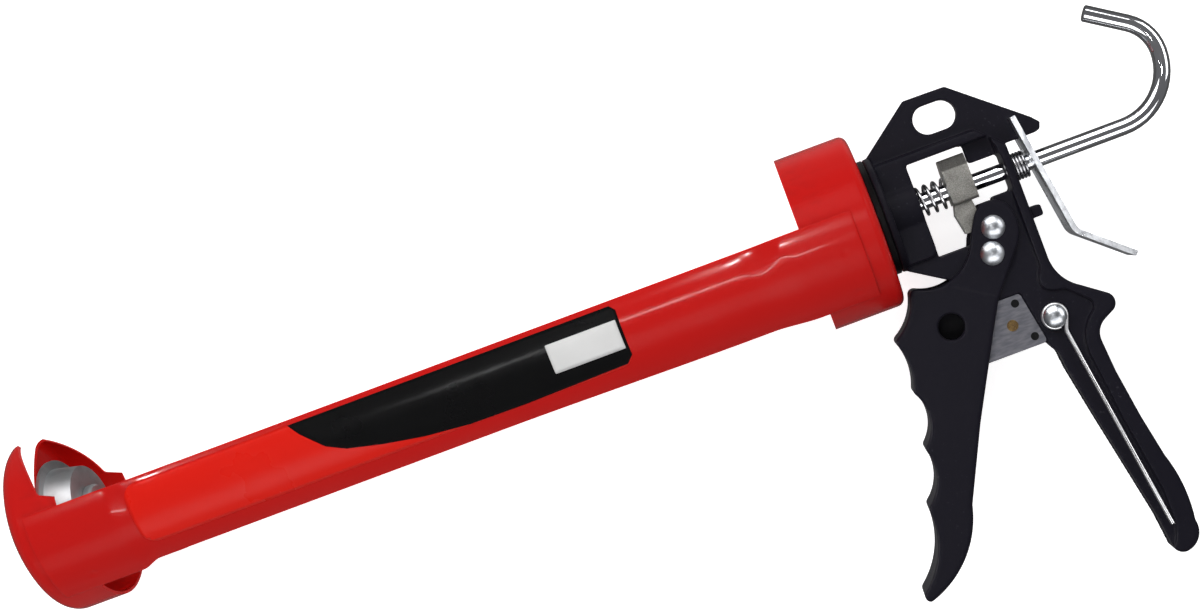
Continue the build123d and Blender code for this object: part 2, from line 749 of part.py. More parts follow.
# ================================================================== blade and seal punch
dowels = [(38.1, -46.7), (40.8, -60.4)]
eyelet_place = (34.5, -54.0)
dowel_radius = 1.5
with BuildPart() as cutter_blade:
    with BuildSketch(Plane.XZ.offset(blade_outer - blade_sheet)) as blade_shape:
        with BuildLine():
            Polyline((22.0, blade_top), (40.9, blade_top), (44.6, blade_low), (15.8, blade_low), close=True)
        make_face()
        fillet(blade_shape.vertices().sort_by(Axis.X)[-2:], 1.4)
        with Locations(*dowels):
            Circle(dowel_radius, mode=Mode.SUBTRACT)
        with Locations(eyelet_place):
            Circle(dowel_radius, mode=Mode.SUBTRACT)
    extrude(amount=blade_sheet)
    chamfer(cutter_blade.faces().sort_by(Axis.Y)[-1].edges().sort_by(Axis.X)[0], 0.9)
cutter_blade.part.label = "cutter_blade"
export_step(cutter_blade.part, "parts/cutter_blade.step")

with BuildPart() as blade_dowels:
    with BuildSketch(Plane.XZ.offset(blade_outer - blade_sheet)):
        with Locations(*dowels):
            Circle(dowel_radius)
    extrude(amount=blade_sheet + 0.1)
blade_dowels.part.label = "blade_dowels"
export_step(blade_dowels.part, "parts/blade_dowels.step")

with BuildPart() as blade_eyelet:
    with BuildSketch(Plane.XZ.offset(blade_outer - blade_sheet)):
        with Locations(eyelet_place):
            Circle(dowel_radius)
    extrude(amount=blade_sheet + 0.1)
    with BuildSketch(Plane.XZ.offset(blade_outer)):
        with Locations(eyelet_place):
            Circle(2.1)
            Circle(0.8, mode=Mode.SUBTRACT)
    extrude(amount=0.15)
blade_eyelet.part.label = "blade_eyelet"
export_step(blade_eyelet.part, "parts/blade_eyelet.step")

punch_low = -punch_plane - punch_wire / 2 - 0.15
with BuildPart() as punch_rivet:
    add(rivet(punch_x, punch_z, punch_hub, rivet_head_radius, rivet_head_height, punch_low, -2, heads=1))
punch_rivet.part.label = "punch_rivet"
export_step(punch_rivet.part, "parts/punch_rivet.step")

punch_tip = (63.8, -141.4)
leave = radians(-20)  # where the wire leaves its loop
leave_point = (punch_x + punch_loop_radius * cos(leave), punch_z + punch_loop_radius * sin(leave))
kink = (leave_point[0] + 5.3 * sin(leave), leave_point[1] - 5.3 * cos(leave))
with BuildPart() as seal_punch:
    with BuildLine(Plane.XZ.offset(punch_plane)) as loop_line:
        CenterArc((punch_x, punch_z), punch_loop_radius, -20, 300)
    with BuildSketch(Plane(origin=loop_line.line @ 0, z_dir=loop_line.line % 0)):
        Circle(punch_wire / 2)
    sweep(path=loop_line.line)
    with BuildLine(Plane.XZ.offset(punch_plane)) as leg_line:
        FilletPolyline(leave_point, kink, punch_tip, radius=4)
    with BuildSketch(Plane(origin=leg_line.line @ 0, z_dir=leg_line.line % 0)):
        Circle(punch_wire / 2)
    sweep(path=leg_line.line)
seal_punch.part.label = "seal_punch"
export_step(seal_punch.part, "parts/seal_punch.step")
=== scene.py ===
import bpy
import bmesh
import math
from mathutils import Matrix, Vector


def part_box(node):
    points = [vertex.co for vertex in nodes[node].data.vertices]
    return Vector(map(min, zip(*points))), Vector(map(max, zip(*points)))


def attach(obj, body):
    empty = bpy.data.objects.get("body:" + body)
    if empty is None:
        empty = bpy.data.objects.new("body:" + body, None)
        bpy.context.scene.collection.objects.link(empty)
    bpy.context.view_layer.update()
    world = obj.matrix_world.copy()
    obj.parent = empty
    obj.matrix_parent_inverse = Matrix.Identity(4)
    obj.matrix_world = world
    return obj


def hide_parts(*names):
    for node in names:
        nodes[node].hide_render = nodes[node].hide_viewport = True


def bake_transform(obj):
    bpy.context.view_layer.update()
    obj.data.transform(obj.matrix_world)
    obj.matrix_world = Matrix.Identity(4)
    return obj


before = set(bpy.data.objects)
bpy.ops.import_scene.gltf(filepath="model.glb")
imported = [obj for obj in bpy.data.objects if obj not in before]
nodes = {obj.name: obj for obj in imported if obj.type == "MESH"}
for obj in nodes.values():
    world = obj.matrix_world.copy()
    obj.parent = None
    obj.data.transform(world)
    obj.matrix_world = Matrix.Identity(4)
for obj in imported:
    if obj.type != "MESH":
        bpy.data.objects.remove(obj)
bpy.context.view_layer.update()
mm = 0.001
print("frame loaded:", len(nodes), "nodes")


# node and material helpers

def newGroup(name, inputs, outputs):
    # every socket is a number
    group = bpy.data.node_groups.new(name, "ShaderNodeTree")
    for side, socketNames in (("INPUT", inputs), ("OUTPUT", outputs)):
        for socketName in socketNames:
            group.interface.new_socket(name=socketName, in_out=side, socket_type="NodeSocketFloat")
    return group, group.nodes.new("NodeGroupInput"), group.nodes.new("NodeGroupOutput")


def feed(tree, value, socket):
    # a number goes on the socket itself, and anything else is linked
    if isinstance(value, (int, float)):
        socket.default_value = value
    else:
        tree.links.new(value, socket)


def mathNode(tree, operation, first, second, clamp=False):
    node = tree.nodes.new("ShaderNodeMath")
    node.operation = operation
    node.use_clamp = clamp
    feed(tree, first, node.inputs[0])
    feed(tree, second, node.inputs[1])
    return node.outputs[0]


def rangeNode(tree, value, low, high, newLow=0.0, newHigh=1.0):
    node = tree.nodes.new("ShaderNodeMapRange")
    tree.links.new(value, node.inputs["Value"])
    limits = {"From Min": low, "From Max": high, "To Min": newLow, "To Max": newHigh}
    for key, limit in limits.items():
        feed(tree, limit, node.inputs[key])
    return node.outputs["Result"]


def noise(tree, scale, detail, stretch=None):
    place = tree.nodes.new("ShaderNodeTexCoord").outputs["Object"]
    if stretch:
        mapping = tree.nodes.new("ShaderNodeMapping")
        mapping.inputs["Scale"].default_value = stretch
        tree.links.new(place, mapping.inputs["Vector"])
        place = mapping.outputs["Vector"]
    texture = tree.nodes.new("ShaderNodeTexNoise")
    texture.inputs["Detail"].default_value = detail
    tree.links.new(place, texture.inputs["Vector"])
    feed(tree, scale, texture.inputs["Scale"])
    return texture.outputs["Fac"]


# effects that several materials share
grainLook = {"fineDetail": 2.0, "coarseDetail": 3.0, "coarseScale": 0.18}


def makeGrainGroup():
    # fine powder or cast texture, as a height for Bump
    group, inside, outside = newGroup("surfaceGrain", ["Scale", "Coarse Share"], ["Height"])
    fine = noise(group, inside.outputs["Scale"], grainLook["fineDetail"])
    coarseScale = mathNode(group, "MULTIPLY", inside.outputs["Scale"], grainLook["coarseScale"])
    coarse = noise(group, coarseScale, grainLook["coarseDetail"])
    share = mathNode(group, "MULTIPLY", coarse, inside.outputs["Coarse Share"])
    group.links.new(mathNode(group, "ADD", fine, share), outside.inputs["Height"])
    return group


wearLook = {"patches": {"scale": 220.0, "detail": 4.0}, "patchRange": (0.4, 0.62)}


def makeWearGroup():
    # rubbed edges, broken up so that no edge is evenly worn
    group, inside, outside = newGroup("edgeWear", ["Start", "Width", "Amount"], ["Mask"])
    pointiness = group.nodes.new("ShaderNodeNewGeometry").outputs["Pointiness"]
    end = mathNode(group, "ADD", inside.outputs["Start"], inside.outputs["Width"])
    edge = rangeNode(group, pointiness, inside.outputs["Start"], end)
    patches = rangeNode(group, noise(group, **wearLook["patches"]), *wearLook["patchRange"])
    worn = mathNode(group, "MULTIPLY", edge, patches)
    worn = mathNode(group, "MULTIPLY", worn, inside.outputs["Amount"], True)
    group.links.new(worn, outside.inputs["Mask"])
    return group


marksLook = {
    "driftDetail": 5.0,
    "driftRange": (0.36, 0.66),
    "specks": {"scale": 900.0, "detail": 1.0},
    "speckRange": (0.68, 0.76),
    "dustRange": (0.45, 0.7),
}


def makeSmudgeGroup():
    # handling marks: a roughness that drifts, and a faint dust mask
    group, inside, outside = newGroup("handlingMarks", ["Smooth", "Rough", "Scale"], ["Roughness", "Dust"])
    smooth, rough = inside.outputs["Smooth"], inside.outputs["Rough"]
    drift = noise(group, inside.outputs["Scale"], marksLook["driftDetail"])
    drifting = rangeNode(group, drift, *marksLook["driftRange"], smooth, rough)
    group.links.new(drifting, outside.inputs["Roughness"])
    specks = rangeNode(group, noise(group, **marksLook["specks"]), *marksLook["speckRange"])
    dusty = mathNode(group, "MULTIPLY", specks, rangeNode(group, drift, *marksLook["dustRange"]))
    group.links.new(dusty, outside.inputs["Dust"])
    return group


grainGroup = makeGrainGroup()
wearGroup = makeWearGroup()
smudgeGroup = makeSmudgeGroup()
print("effect groups built")


def useGroup(tree, group, **values):
    node = tree.nodes.new("ShaderNodeGroup")
    node.node_tree = group
    for key, value in values.items():
        node.inputs[key.replace("_", " ")].default_value = value
    return node


def mixColour(tree, mask, first, second):
    # the mask goes from first, a colour or a socket, to second, a colour
    node = tree.nodes.new("ShaderNodeMix")
    node.data_type = "RGBA"
    colours = [socket for socket in node.inputs if socket.type == "RGBA"]
    if isinstance(first, tuple):
        colours[0].default_value = (*first, 1)
    else:
        tree.links.new(first, colours[0])
    colours[1].default_value = (*second, 1)
    tree.links.new(mask, node.inputs["Factor"])
    return [socket for socket in node.outputs if socket.type == "RGBA"][0]


def newMaterial(name, **shaderValues):
    material = bpy.data.materials.new(name)
    material.use_nodes = True
    tree = material.node_tree
    shader = tree.nodes["Principled BSDF"]
    for key, value in shaderValues.items():
        socket = shader.inputs[key.replace("_", " ")]
        socket.default_value = (*value, 1) if isinstance(value, tuple) else value
    material.diffuse_color = (*shaderValues["Base_Color"], 1)
    return material, tree, shader


def bumpInto(tree, shader, height, strength, distance):
    bump = tree.nodes.new("ShaderNodeBump")
    bump.inputs["Strength"].default_value = strength
    bump.inputs["Distance"].default_value = distance
    tree.links.new(height, bump.inputs["Height"])
    tree.links.new(bump.outputs["Normal"], shader.inputs["Normal"])


def grainedMaterial(name, look, **shaderValues):
    # what every material has: handling marks in the roughness and a grain in the normal
    material, tree, shader = newMaterial(name, **look.get("shader", {}), **shaderValues)
    marks = useGroup(tree, smudgeGroup, **look["marks"])
    tree.links.new(marks.outputs["Roughness"], shader.inputs["Roughness"])
    grain = useGroup(tree, grainGroup, **look["grain"])
    bumpInto(tree, shader, grain.outputs["Height"], *look["bump"])
    return material, tree, shader, marks


# materials: shader values, handling marks, grain, bump (strength, depth in metres), then colours
enamel = {
    "shader": {"Coat_Weight": 0.5, "Coat_Roughness": 0.05, "Specular_IOR_Level": 0.35},
    "marks": {"Smooth": 0.14, "Rough": 0.27, "Scale": 16.0},
    "grain": {"Scale": 620.0, "Coarse_Share": 0.1},
    "bump": (0.05, 0.0004),
    "red": (0.60, 0.0065, 0.0045),
    "deepRed": (0.36, 0.004, 0.003),
    "deepShare": 0.25,
    "drift": {"scale": 9.0, "detail": 2.0},
    "driftRange": (0.35, 0.7),
    "wear": {"Start": 0.56, "Width": 0.1, "Amount": 0.35},
    "primer": (0.10, 0.006, 0.006),
}


def redEnamel():
    material, tree, shader = grainedMaterial("redEnamel", enamel, Base_Color=enamel["red"])[:3]
    drift = rangeNode(tree, noise(tree, **enamel["drift"]), *enamel["driftRange"])
    deep = mathNode(tree, "MULTIPLY", drift, enamel["deepShare"])
    tone = mixColour(tree, deep, enamel["red"], enamel["deepRed"])
    wear = useGroup(tree, wearGroup, **enamel["wear"])
    colour = mixColour(tree, wear.outputs["Mask"], tone, enamel["primer"])
    tree.links.new(colour, shader.inputs["Base Color"])
    return material


casting = {
    "shader": {"Specular_IOR_Level": 0.24},
    "marks": {"Smooth": 0.36, "Rough": 0.5, "Scale": 34.0},
    "grain": {"Scale": 2600.0, "Coarse_Share": 0.8},
    "bump": (0.16, 0.0003),
    "black": (0.0075, 0.0068, 0.0115),
    "wear": {"Start": 0.53, "Width": 0.07, "Amount": 0.7},
    "rubbed": (0.032, 0.030, 0.036),
    "dust": (0.06, 0.06, 0.07),
    "dustShare": 0.5,
}


def blackCasting():
    material, tree, shader, marks = grainedMaterial("blackCasting", casting, Base_Color=casting["black"])
    wear = useGroup(tree, wearGroup, **casting["wear"])
    rubbed = mixColour(tree, wear.outputs["Mask"], casting["black"], casting["rubbed"])
    dust = mathNode(tree, "MULTIPLY", marks.outputs["Dust"], casting["dustShare"])
    tree.links.new(mixColour(tree, dust, rubbed, casting["dust"]), shader.inputs["Base Color"])
    return material


nylon = {
    "shader": {"Specular_IOR_Level": 0.3},
    "marks": {"Smooth": 0.28, "Rough": 0.46, "Scale": 60.0},
    "grain": {"Scale": 1500.0, "Coarse_Share": 0.5},
    "bump": (0.08, 0.0003),
    "black": (0.005, 0.005, 0.0055),
    "scuff": (0.02, 0.02, 0.021),
    "scuffShare": 0.4,
    "turning": {"scale": 700.0, "detail": 2.0, "stretch": (1.0, 0.1, 0.1)},
    "turningRange": (0.5, 0.72),
}


def blackNylon():
    material, tree, shader = grainedMaterial("blackNylon", nylon, Base_Color=nylon["black"])[:3]
    turned = rangeNode(tree, noise(tree, **nylon["turning"]), *nylon["turningRange"])
    scuffed = mathNode(tree, "MULTIPLY", turned, nylon["scuffShare"])
    tree.links.new(mixColour(tree, scuffed, nylon["black"], nylon["scuff"]), shader.inputs["Base Color"])
    return material


# patch is the scale of the handling marks, and the finer noises follow from it
platedShared = {
    "patchTimes": 3,
    "patchDetail": 6.0,
    "patchRange": (0.42, 0.66),
    "grainTimes": 14,
    "coarse": 1.4,
    "bumpDepth": 0.0003,
}
plated = {
    "zincPlate": {
        "bright": (0.82, 0.84, 0.87), "dull": (0.42, 0.43, 0.46), "smooth": 0.26, "rough": 0.42,
        "patch": 130.0, "grain": 0.16, "stretch": (1.0, 1.0, 0.4),
    },
    "plungerZinc": {
        "bright": (0.50, 0.51, 0.52), "dull": (0.38, 0.39, 0.40), "smooth": 0.38, "rough": 0.55,
        "patch": 40.0, "grain": 0.08,
    },
    "rivetSteel": {
        "bright": (0.62, 0.64, 0.67), "dull": (0.40, 0.42, 0.45), "smooth": 0.26, "rough": 0.40,
        "patch": 150.0, "grain": 0.10,
    },
    "chromeRod": {
        "bright": (0.88, 0.89, 0.91), "dull": (0.76, 0.77, 0.80), "smooth": 0.03, "rough": 0.08,
        "patch": 20.0, "grain": 0.006, "stretch": (0.2, 1.0, 1.0),
    },
    "springWire": {
        "bright": (0.66, 0.66, 0.68), "dull": (0.42, 0.42, 0.44), "smooth": 0.16, "rough": 0.30,
        "patch": 120.0, "grain": 0.03,
    },
    "punchWire": {
        "bright": (0.84, 0.84, 0.85), "dull": (0.66, 0.66, 0.67), "smooth": 0.22, "rough": 0.34,
        "patch": 60.0, "grain": 0.02, "stretch": (1.0, 1.0, 0.2),
    },
    "brass": {
        "bright": (0.42, 0.27, 0.11), "dull": (0.20, 0.12, 0.06), "smooth": 0.22, "rough": 0.36,
        "patch": 120.0, "grain": 0.02,
    },
}


def platedSteel(name, bright, dull, smooth, rough, patch, grain, stretch=None):
    look = {
        "marks": {"Smooth": smooth, "Rough": rough, "Scale": patch},
        "grain": {"Scale": patch * platedShared["grainTimes"], "Coarse_Share": platedShared["coarse"]},
        "bump": (grain, platedShared["bumpDepth"]),
    }
    material, tree, shader = grainedMaterial(name, look, Base_Color=bright, Metallic=1.0)[:3]
    spots = noise(tree, patch * platedShared["patchTimes"], platedShared["patchDetail"], stretch)
    patches = rangeNode(tree, spots, *platedShared["patchRange"])
    tree.links.new(mixColour(tree, patches, bright, dull), shader.inputs["Base Color"])
    return material


twoTone = {
    "sinteredBlock": {
        "shader": {"Base_Color": (0.30, 0.29, 0.26), "Metallic": 0.85},
        "marks": {"Smooth": 0.36, "Rough": 0.58, "Scale": 140.0},
        "grain": {"Scale": 2600.0, "Coarse_Share": 1.0},
        "bump": (0.3, 0.0003),
        "tones": ((0.20, 0.195, 0.18), (0.42, 0.41, 0.38)),
        "pattern": {"scale": 3200.0, "detail": 3.0},
        "range": (0.30, 0.68),
    },
    # ground along the blade
    "bladeSteel": {
        "shader": {"Base_Color": (0.22, 0.22, 0.25), "Metallic": 0.55},
        "marks": {"Smooth": 0.42, "Rough": 0.58, "Scale": 80.0},
        "grain": {"Scale": 1800.0, "Coarse_Share": 0.4},
        "bump": (0.12, 0.0002),
        "tones": ((0.19, 0.19, 0.22), (0.29, 0.29, 0.32)),
        "pattern": {"scale": 900.0, "detail": 3.0, "stretch": (0.25, 1.0, 1.0)},
        "range": (0.35, 0.68),
    },
}


def twoToneMetal(name, look):
    material, tree, shader = grainedMaterial(name, look)[:3]
    pattern = rangeNode(tree, noise(tree, **look["pattern"]), *look["range"])
    tree.links.new(mixColour(tree, pattern, *look["tones"]), shader.inputs["Base Color"])
    return material


film = {
    "shader": {"Coat_Weight": 0.35, "Coat_Roughness": 0.14, "Specular_IOR_Level": 0.2},
    "marks": {"Smooth": 0.27, "Rough": 0.30, "Scale": 26.0},
    "grain": {"Scale": 260.0, "Coarse_Share": 2.0},
    "bump": (0.06, 0.0004),
    "drift": {"scale": 60.0, "detail": 5.0},
    "driftRange": (0.4, 0.7),
    "tintShare": 0.5,
}
filmColours = {
    "labelRed": {"colour": (0.76, 0.012, 0.005), "tint": (0.73, 0.011, 0.005)},
    "labelBlack": {"colour": (0.002, 0.002, 0.0022), "tint": (0.004, 0.004, 0.0043)},
    "labelWhite": {"colour": (0.78, 0.78, 0.77), "tint": (0.68, 0.68, 0.67)},
}


def vinyl(name, colour, tint):
    material, tree, shader = grainedMaterial(name, film, Base_Color=colour)[:3]
    drift = rangeNode(tree, noise(tree, **film["drift"]), *film["driftRange"])
    tinted = mathNode(tree, "MULTIPLY", drift, film["tintShare"])
    tree.links.new(mixColour(tree, tinted, colour, tint), shader.inputs["Base Color"])
    return material


finish = {name: platedSteel(name, **values) for name, values in plated.items()}
finish["redEnamel"] = redEnamel()
finish["blackCasting"] = blackCasting()
finish["blackNylon"] = blackNylon()
finish.update({name: twoToneMetal(name, look) for name, look in twoTone.items()})
finish.update({name: vinyl(name, **values) for name, values in filmColours.items()})
print("materials built:", len(finish))

nodeFinish = {
    "blackCasting": ["frame_casting", "trigger"],
    "blackNylon": ["swivel_ring", "blade_dowels"],
    "redEnamel": ["front_cap", "rear_cap", "left_rail", "right_rail"],
    "zincPlate": ["thrust_washer", "swivel_bushing", "release_lever"],
    "plungerZinc": ["plunger", "plunger_nut", "plunger_collar"],
    "rivetSteel": ["pivot_pin", "drive_pin", "punch_rivet"],
    "chromeRod": ["pull_rod"],
    "sinteredBlock": ["drive_block"],
    "springWire": ["drive_spring", "release_spring"],
    "bladeSteel": ["cutter_blade"],
    "brass": ["blade_eyelet"],
    "punchWire": ["seal_punch"],
}
for finishName, nodeNames in nodeFinish.items():
    for nodeName in nodeNames:
        meshData = nodes[nodeName].data
        meshData.materials.clear()
        meshData.materials.append(finish[finishName])


# a new object joins the scene, and smooth shading stops at edges sharper than the angle
def link(piece):
    bpy.context.scene.collection.objects.link(piece)
    return piece


def smoothShade(piece, angle):
    piece.data.shade_smooth()
    piece.data.set_sharp_from_angle(angle=math.radians(angle))


# rails: pressed channels with a soft joggle beside each cap
# a weld is (x in mm, angle in degrees), a dent adds its reach in mm and its depth in mm
rail = {
    "front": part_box("left_rail")[0].x,
    "rear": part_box("left_rail")[1].x,
    "outerRadius": 34.27 * mm,
    "step": 0.95 * mm,
    "thickness": 1.1 * mm,
    "top": 6.3 * mm,
    "midLow": -24.8 * mm,
    "flare": 1.0 * mm,
    "flareSpan": (-150 * mm, -55 * mm),
    "endLow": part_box("left_rail")[0].z,
    "frontStep": (-287.7 * mm, -280.0 * mm),
    "rearStep": (-47.5 * mm, -29.5 * mm),
    "welds": [(-309.0, -6), (-303.0, -38), (-14.2, -12), (-14.2, -40)],
    "weldDepth": 0.28 * mm,
    "weldSpread": 1.1,  # square mm
    "weldRadius": 34.3,  # mm
    "dents": [
        (-44.0, 0.0, 5.0, 0.42), (-34.0, 4.0, 4.0, -0.34),
        (-281.5, -2.0, 4.5, 0.30), (-27.0, -24.0, 5.0, 0.12),
    ],
    "dentShare": 0.8,
    "dentTurn": 1.8,  # degrees for each mm of reach
    "grid": 0.9 * mm,
    "rows": 48,
    "edgeWidth": 0.28 * mm,
    "edgeSegments": 2,
    "edgeAngle": 50,
    "shadeAngle": 40,
}


def smoothStep(value, start, end):
    share = min(1.0, max(0.0, (value - start) / (end - start)))
    return share * share * (3 - 2 * share)


def betweenSteps(x):
    # 0 at the caps, 1 along the middle
    return smoothStep(x, *rail["frontStep"]) * (1 - smoothStep(x, *rail["rearStep"]))


def railOffset(x, angle):
    depth = rail["step"] * betweenSteps(x)
    for dentX, dentAngle, reach, height in rail["dents"]:
        along, around = (x / mm - dentX) / reach, (angle - dentAngle) / (reach * rail["dentTurn"])
        depth += height * mm * math.exp(-(along ** 2 + around ** 2)) * rail["dentShare"]
    for weldX, weldAngle in rail["welds"]:
        along, around = x / mm - weldX, math.radians(angle - weldAngle) * rail["weldRadius"]
        depth += rail["weldDepth"] * math.exp(-(along ** 2 + around ** 2) / rail["weldSpread"])
    return max(0.0, depth)


def railPoint(x, angle, side, lift=0.0):
    radius = rail["outerRadius"] - railOffset(x, angle) + lift
    turn = math.radians(angle)
    return Vector((x, side * radius * math.cos(turn), radius * math.sin(turn)))


def railLowAngle(x):
    # the lower edge drops a little towards the rear, and again on the caps
    midLow = rail["midLow"] - rail["flare"] * smoothStep(x, *rail["flareSpan"])
    low = rail["endLow"] + (midLow - rail["endLow"]) * betweenSteps(x)
    return math.degrees(math.asin(low / rail["outerRadius"]))


def makeRail(nodeName, side):
    mesh = bmesh.new()
    columns = int((rail["rear"] - rail["front"]) / rail["grid"])
    rows = rail["rows"]
    topAngle = math.degrees(math.asin(rail["top"] / rail["outerRadius"]))
    grid = []
    for column in range(columns + 1):
        x = rail["front"] + (rail["rear"] - rail["front"]) * column / columns
        lowAngle = railLowAngle(x)
        grid.append([
            mesh.verts.new(railPoint(x, lowAngle + (topAngle - lowAngle) * row / rows, side))
            for row in range(rows + 1)
        ])
    for column in range(columns):
        for row in range(rows):
            near, far = grid[column], grid[column + 1]
            corners = [near[row], far[row], far[row + 1], near[row + 1]]
            mesh.faces.new(corners if side < 0 else list(reversed(corners)))
    data = bpy.data.meshes.new(nodeName + "Skin")
    mesh.to_mesh(data)
    mesh.free()
    piece = link(bpy.data.objects.new(nodeName + "Skin", data))
    data.materials.append(finish["redEnamel"])
    wall = piece.modifiers.new("wall", "SOLIDIFY")
    wall.thickness = rail["thickness"]
    wall.offset = -1  # inwards
    edge = piece.modifiers.new("edge", "BEVEL")
    edge.width = rail["edgeWidth"]
    edge.segments = rail["edgeSegments"]
    edge.limit_method = "ANGLE"
    edge.angle_limit = math.radians(rail["edgeAngle"])
    smoothShade(piece, rail["shadeAngle"])
    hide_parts(nodeName)
    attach(piece, "barrel")


makeRail("left_rail", -1)
makeRail("right_rail", 1)
print("rails pressed")

# label on the near rail, in mm: red ground, black sweep, bare white box
label = {
    "ground": {"front": -281.0, "rear": -96.6, "top": 4.3, "low": -18.0, "corner": 5.0},
    "sweep": [
        (-218.6, 4.2), (-215.6, 0.0), (-208.6, -7.3), (-202.2, -10.6), (-189.4, -13.7), (-175.4, -16.2),
        (-158.8, -17.8), (-138.0, -18.0), (-99.5, -17.2), (-96.8, -14.6), (-96.6, 2.2), (-98.4, 4.2),
    ],
    "box": {"front": -124.2, "rear": -97.9, "top": -1.0, "low": -11.7, "corner": 0.4},
    "cornerSteps": 6,
    "lift": 0.05,
    "gap": 0.03,
    "fullness": 0.9,  # the film's thickness as a share of the lift
    "grid": 1.2,
    "shadeAngle": 40,
}


def roundedBox(shape):
    outline = []
    corner, steps = shape["corner"], label["cornerSteps"]
    front, rear = shape["front"] + corner, shape["rear"] - corner
    low, top = shape["low"] + corner, shape["top"] - corner
    for centreX, centreZ, start in ((rear, top, 0), (front, top, 90), (front, low, 180), (rear, low, 270)):
        for step in range(steps + 1):
            turn = math.radians(start + 90 * step / steps)
            outline.append((centreX + corner * math.cos(turn), centreZ + corner * math.sin(turn)))
    return outline


def makeLabelLayer(name, outline, finishName, level):
    # cut flat, with x along the rail and y up it, then wrapped on the rail
    flat = bmesh.new()
    flat.faces.new([flat.verts.new((x, z, 0)) for x, z in outline])
    for axis, places in zip(((1, 0, 0), (0, 1, 0)), zip(*outline)):
        low, high = min(places), max(places)
        cuts = int((high - low) / label["grid"])
        for cut in range(1, cuts):
            place = low + (high - low) * cut / cuts
            geometry = flat.verts[:] + flat.edges[:] + flat.faces[:]
            bmesh.ops.bisect_plane(flat, geom=geometry, plane_co=Vector(axis) * place, plane_no=axis)
    lift = (label["gap"] + label["lift"] * (level + 1)) * mm
    for vertex in flat.verts:
        x, z = vertex.co.x * mm, vertex.co.y * mm
        angle = math.degrees(math.asin(z / (rail["outerRadius"] - rail["step"])))
        vertex.co = railPoint(x, angle, -1, lift)
    bmesh.ops.recalc_face_normals(flat, faces=flat.faces[:])
    if sum(face.normal.y for face in flat.faces) > 0:
        bmesh.ops.reverse_faces(flat, faces=flat.faces[:])
    data = bpy.data.meshes.new(name)
    flat.to_mesh(data)
    flat.free()
    piece = link(bpy.data.objects.new(name, data))
    data.materials.append(finish[finishName])
    backing = piece.modifiers.new("film", "SOLIDIFY")
    backing.thickness = label["lift"] * mm * label["fullness"]
    backing.offset = -1  # inwards
    smoothShade(piece, label["shadeAngle"])
    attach(piece, "barrel")


makeLabelLayer("labelGround", roundedBox(label["ground"]), "labelRed", 0)
makeLabelLayer("labelSweep", label["sweep"], "labelBlack", 1)
makeLabelLayer("labelBox", roundedBox(label["box"]), "labelWhite", 2)
print("label laid on the near rail")

# castings: the same solids with the softened edges of a die casting
softShared = {"voxel": 0.42 * mm, "relax": 0.5, "shadeAngle": 60}
softCasting = {
    "frame_casting": {"passes": 5, "body": "frame"},
    "trigger": {"passes": 3, "body": "trigger"},
}


def softenCasting(nodeName, passes, body):
    piece = link(bpy.data.objects.new(nodeName + "Cast", nodes[nodeName].data.copy()))
    remesh = piece.modifiers.new("remesh", "REMESH")
    remesh.mode = "VOXEL"
    remesh.voxel_size = softShared["voxel"]
    relax = piece.modifiers.new("relax", "SMOOTH")
    relax.factor = softShared["relax"]
    relax.iterations = passes
    evaluated = piece.evaluated_get(bpy.context.evaluated_depsgraph_get())
    data = bpy.data.meshes.new_from_object(evaluated)
    piece.modifiers.clear()
    piece.data = data
    data.materials.clear()
    data.materials.append(finish["blackCasting"])
    smoothShade(piece, softShared["shadeAngle"])
    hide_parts(nodeName)
    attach(piece, body)


for nodeName, values in softCasting.items():
    softenCasting(nodeName, **values)
print("castings softened")

# on the real gun the two springs shorten as the part they push on moves; here each is a smooth-shaded copy
# fixed in place
springShade = 60
springs = {
    "drive_spring": {"moving": "driver", "fixedEnd": 18.1 * mm},
    "release_spring": {"moving": "lever", "fixedEnd": 55.3 * mm},
}


def makeSpring(nodeName, moving, fixedEnd):
    # moving and fixedEnd are not used; on the real spring the end further from the fixed one is the end
    # that moves
    coil = link(bpy.data.objects.new(nodeName + "Coil", nodes[nodeName].data.copy()))
    smoothShade(coil, springShade)
    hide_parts(nodeName)
    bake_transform(coil)


for nodeName, values in springs.items():
    makeSpring(nodeName, **values)
print("springs fitted")

# camera, in mm, with the roll in degrees
mainView = {
    "distance": 660.0,
    "aim": (-105.2, 0.0, 5.15),
    "eyeX": -25.0,
    "eyeZ": 4.9,
    "roll": 20.4,
    "width": 442.9,
    "sensor": 36,
    "nearest": 50.0,
    "farthest": 20000.0,
}


def placeCamera():
    # the lens faces the gun's side squarely, and the shift brings the aim to the middle
    aim = Vector(mainView["aim"])
    eye = Vector((mainView["eyeX"], -mainView["distance"], mainView["eyeZ"]))
    turn = math.radians(mainView["roll"])
    forward = Vector((0, 1, 0))
    up = Vector((math.sin(turn), 0, math.cos(turn)))
    right = forward.cross(up)
    data = bpy.data.cameras.new("view")
    data.sensor_width = mainView["sensor"]
    data.lens = mainView["sensor"] * mainView["distance"] / mainView["width"]
    data.shift_x = (aim - eye).dot(right) / mainView["width"]
    data.shift_y = (aim - eye).dot(up) / mainView["width"]
    data.clip_start = mainView["nearest"] * mm
    data.clip_end = mainView["farthest"] * mm
    camera = link(bpy.data.objects.new("view", data))
    axes = Matrix((right, up, -forward)).transposed().to_4x4()
    camera.matrix_world = Matrix.Translation(eye * mm) @ axes
    bpy.context.scene.camera = camera


placeCamera()

# floor
floorPlace = {
    "behind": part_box("right_rail")[1].y,
    "gap": 0.8 * mm,
    "half": 3.0,
    "paint": (0.8, 0.8, 0.8, 1),
    "roughness": 0.9,
    "glowColour": (1, 1, 1, 1),
    "glow": 0.8,
    "mirrored": (0.08, 0.08, 0.08, 1),
}


def joinShaders(tree, share, first, second):
    mix = tree.nodes.new("ShaderNodeMixShader")
    tree.links.new(share, mix.inputs["Fac"])
    tree.links.new(first.outputs[0], mix.inputs[1])
    tree.links.new(second.outputs[0], mix.inputs[2])
    return mix


